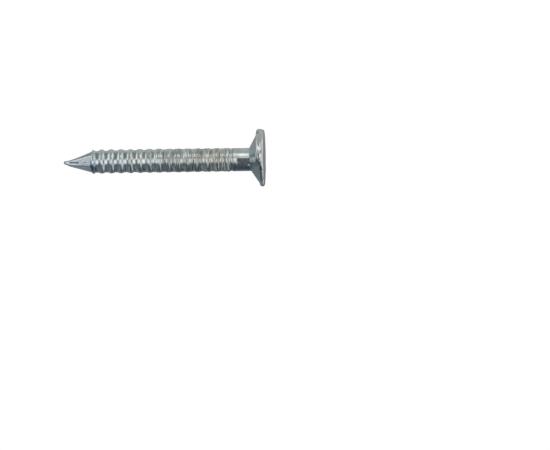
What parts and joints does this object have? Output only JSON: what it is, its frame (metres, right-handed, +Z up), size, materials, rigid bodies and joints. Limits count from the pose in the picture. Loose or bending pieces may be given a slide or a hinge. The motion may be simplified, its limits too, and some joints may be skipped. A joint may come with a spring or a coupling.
{
  "type": "ring-shank nail",
  "caption": "Steel nail with a flat round head on a conical neck, annular rings along the shank and a four-facet point, bright zinc plated.",
  "frame": {"origin": "centre of the head's flat outer face, the face that the hammer strikes", "axes": "+X along the nail's axis, out of the head; the point reaches towards -X; +Z up with the nail lying on its side"},
  "size_m": [0.0308, 0.0088, 0.0088],
  "materials": {
    "zinc_plated_steel": "bright electroplated zinc over drawn steel wire, slightly cloudy, roughness about 0.28"
  },
  "bodies": {
    "root": {"nail": "zinc_plated_steel"}
  },
  "joints": []
}
